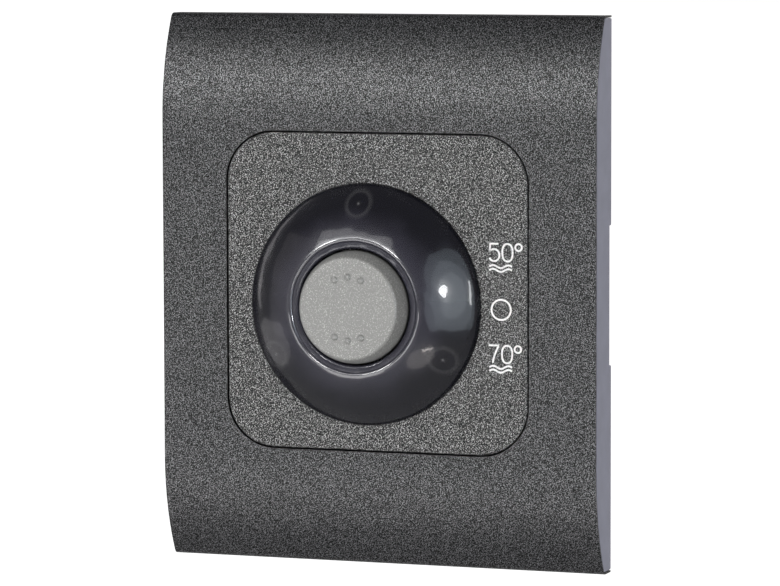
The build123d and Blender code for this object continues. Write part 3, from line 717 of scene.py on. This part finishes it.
def zero(name, x, base):
    """The figure 0."""
    centre = (x + ZERO_WIDTH / 2, base + DIGIT_HEIGHT / 2)
    ribbon(name, arc(centre, ZERO_WIDTH, DIGIT_HEIGHT, 0, 360, ZERO_POWER)[:-1], closed=True)


def five(name, x, base):
    """The figure 5: its bar and stem, then its bowl."""
    top = base + DIGIT_HEIGHT
    bowl_width = FIVE_BOWL[0] * FIVE_WIDTH
    bowl_height = FIVE_BOWL[1] * DIGIT_HEIGHT
    centre = (x + FIVE_WIDTH / 2, base + bowl_height / 2)
    bar = [Vector((x + end * FIVE_WIDTH, top)) for end in FIVE_BAR]
    ribbon(name, bar + arc(centre, bowl_width, bowl_height, FIVE_BOWL_TURN, -FIVE_BOWL_TURN))


def seven(name, x, base):
    """The figure 7: its bar, then its leg."""
    top = base + DIGIT_HEIGHT
    corner = Vector((x + SEVEN_WIDTH, top))
    foot = Vector((x + SEVEN_FOOT * SEVEN_WIDTH, base))
    bend = Vector((x + SEVEN_BEND[0] * SEVEN_WIDTH, base + SEVEN_BEND[1] * DIGIT_HEIGHT))
    leg = [on_curve(corner, bend, foot, i / LEG_STEPS) for i in range(1, LEG_STEPS + 1)]
    ribbon(name, [Vector((x, top)), corner] + leg)


def waves(name, x, z):
    """Parallel wavy lines, the sign for water."""
    for i in range(WAVE_COUNT):
        line = []
        for step in range(ARC_STEPS + 1):
            along = WAVE_WIDTH * step / ARC_STEPS
            swing = math.cos(2 * math.pi * (along / WAVE_PITCH - WAVE_START))
            line.append(Vector((x + along, z - i * WAVE_GAP + WAVE_HEIGHT * swing)))
        ribbon(f"{name}_{i + 1}", line)


def circle(name, x, z, radius=CIRCLE_RADIUS):
    """A plain circle, the sign for off."""
    ribbon(name, arc((x, z), 2 * radius, 2 * radius, 0, 360)[:-1], closed=True)


def degree(name, x, z):
    """The sign for degrees."""
    circle(name, x, z, DEGREE_RADIUS)


# How each mark is drawn, its name, its left edge or centre in X, and its base or centre in Z
MARKS = (
    (five, "mark_50_five", FIVE_LEFT, UPPER_BASE),
    (zero, "mark_50_zero", 25.19 * MM, UPPER_BASE),
    (degree, "mark_50_degree", 28.38 * MM, 9.31 * MM),
    (waves, "mark_50_wave", MARK_LEFT, 5.64 * MM),
    (circle, "mark_off", 24.96 * MM, -2.48 * MM),
    (seven, "mark_70_seven", SEVEN_LEFT, LOWER_BASE),
    (zero, "mark_70_zero", 25.12 * MM, LOWER_BASE),
    (degree, "mark_70_degree", 28.26 * MM, -9.85 * MM),
    (waves, "mark_70_wave", MARK_LEFT, -13.33 * MM),
)
for draw, mark_name, mark_x, mark_z in MARKS:
    draw(mark_name, mark_x, mark_z)


# Camera

def camera():
    """The photograph's viewpoint."""
    forward = Vector((
        -math.sin(CAMERA_YAW) * math.cos(CAMERA_PITCH),
        math.cos(CAMERA_YAW) * math.cos(CAMERA_PITCH),
        -math.sin(CAMERA_PITCH),
    ))
    level = Vector((math.cos(CAMERA_YAW), math.sin(CAMERA_YAW), 0))
    upright = level.cross(forward)
    right = level * math.cos(CAMERA_ROLL) + upright * math.sin(CAMERA_ROLL)
    up = upright * math.cos(CAMERA_ROLL) - level * math.sin(CAMERA_ROLL)
    data = bpy.data.cameras.new("camera")
    data.sensor_width = SENSOR_WIDTH
    data.lens = FOCAL_PIXELS * SENSOR_WIDTH / PHOTO_WIDTH
    piece = bpy.data.objects.new("camera", data)
    turn = Matrix((right, up, -forward)).transposed()
    piece.matrix_world = Matrix.Translation(CAMERA_PLACE) @ turn.to_4x4()
    bpy.context.scene.collection.objects.link(piece)
    bpy.context.scene.camera = piece


camera()


# Studio

def area_light(name, direction, distance, width, height, brightness, shape, colour=WHITE):
    """A soft light that faces the object from a direction, unseen by the camera."""
    data = bpy.data.lights.new(name, "AREA")
    data.shape = shape
    data.size = width
    data.size_y = height
    data.color = colour
    area = width * height * (math.pi / 4 if shape in ("DISK", "ELLIPSE") else 1)
    data.energy = brightness * math.pi * area
    piece = bpy.data.objects.new(name, data)
    way = Vector(direction).normalized()
    piece.location = way * distance
    piece.rotation_mode = "QUATERNION"
    piece.rotation_quaternion = way.to_track_quat("Z", "Y")
    piece.visible_camera = False
    bpy.context.scene.collection.objects.link(piece)
    return piece


def surroundings():
    """The world: an even fill, which the camera sees as white, and gloss and glass see as a dim wall."""
    world = bpy.data.worlds.new("studio")
    bpy.context.scene.world = world
    world.use_nodes = True
    tree = world.node_tree
    tree.nodes.clear()
    path = tree.nodes.new("ShaderNodeLightPath").outputs
    place = tree.nodes.new("ShaderNodeTexCoord").outputs["Generated"]
    way = add(tree, "ShaderNodeSeparateXYZ", {"Vector": place})
    wall = add(tree, "ShaderNodeMapRange", {"Value": way.outputs["Z"]}, interpolation_type="SMOOTHSTEP")
    for key, value in WALL_FADE.items():
        wall.inputs[key].default_value = value
    mirrored = number(tree, "MAXIMUM", path["Is Glossy Ray"], path["Is Transmission Ray"])
    shown = number(tree, "MULTIPLY", mirrored, wall.outputs["Result"])
    seen = number(tree, "MAXIMUM", shown, path["Is Camera Ray"])
    fill = add(tree, "ShaderNodeBackground", Color=(*WHITE, 1), Strength=FILL)
    white = add(tree, "ShaderNodeBackground", Color=(*WHITE, 1), Strength=1.0)
    mix = add(tree, "ShaderNodeMixShader", {"Fac": seen, 1: fill.outputs[0], 2: white.outputs[0]})
    add(tree, "ShaderNodeOutputWorld", {"Surface": mix.outputs[0]})


surroundings()
for lamp in LAMPS:
    area_light(*lamp)
for card in CARDS:
    area_light(*card).visible_diffuse = False


def floor():
    """The pale floor below the panel, which keeps its shadow."""
    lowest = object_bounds()[0].z
    material, tree, output = new_material("floor")
    path = tree.nodes.new("ShaderNodeLightPath").outputs
    mirrored = number(tree, "MULTIPLY", path["Is Glossy Ray"], FLOOR_GLOSS_LIFT)
    lift = number(tree, "MULTIPLY_ADD", path["Is Camera Ray"], FLOOR_LIFT, mirrored)
    glow = add(tree, "ShaderNodeEmission", {"Strength": lift})
    diffuse = add(tree, "ShaderNodeBsdfDiffuse", Color=(*FLOOR_GREY, 1))
    both = add(tree, "ShaderNodeAddShader", {0: diffuse.outputs[0], 1: glow.outputs[0]})
    tree.links.new(both.outputs[0], output.inputs["Surface"])
    mesh = bmesh.new()
    bmesh.ops.create_grid(mesh, x_segments=1, y_segments=1, size=FLOOR_SIZE / 2)
    piece = new_piece("floor", mesh, material)
    piece.location.z = lowest - FLOOR_DROP
    piece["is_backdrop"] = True


floor()

bpy.context.scene.view_settings.view_transform = "Standard"
